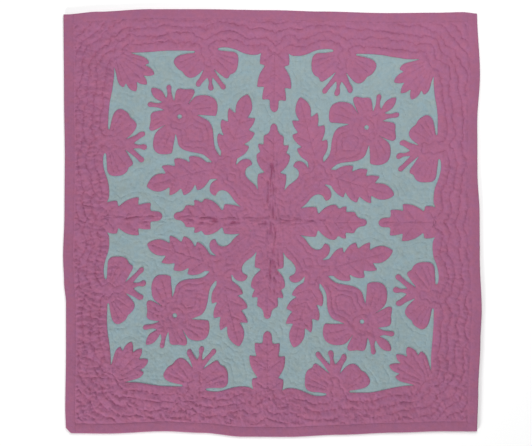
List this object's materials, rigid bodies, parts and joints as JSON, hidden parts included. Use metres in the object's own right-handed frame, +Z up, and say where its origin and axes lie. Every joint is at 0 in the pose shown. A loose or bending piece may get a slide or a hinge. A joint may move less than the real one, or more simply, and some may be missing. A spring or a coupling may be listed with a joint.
{
  "type": "hawaiian quilt",
  "caption": "Flat wall quilt with a snowflake-like cut cloth medallion and a matching leafy border sewn onto a paler ground, echo quilted and bound.",
  "frame": {"origin": "Middle of the box that the quilt fills, on the surface that the quilt lies on.", "axes": "+X runs across the quilt to the right, +Y runs up to its top edge, and +Z points up, out of its face."},
  "size_m": [1.0806, 1.1054, 0.0083],
  "materials": {
    "ground_cotton": "plain woven cotton, pale grey-aqua, quilted",
    "applique_cotton": "plain woven cotton, dusty rose, quilted",
    "binding_cotton": "plain woven cotton, dusty rose, folded over the edge"
  },
  "bodies": {
    "root": {"quilted_body": "ground_cotton", "border_applique": "applique_cotton", "medallion_applique": "applique_cotton", "binding_left": "binding_cotton", "binding_right": "binding_cotton", "binding_top": "binding_cotton", "binding_bottom": "binding_cotton"}
  },
  "joints": []
}
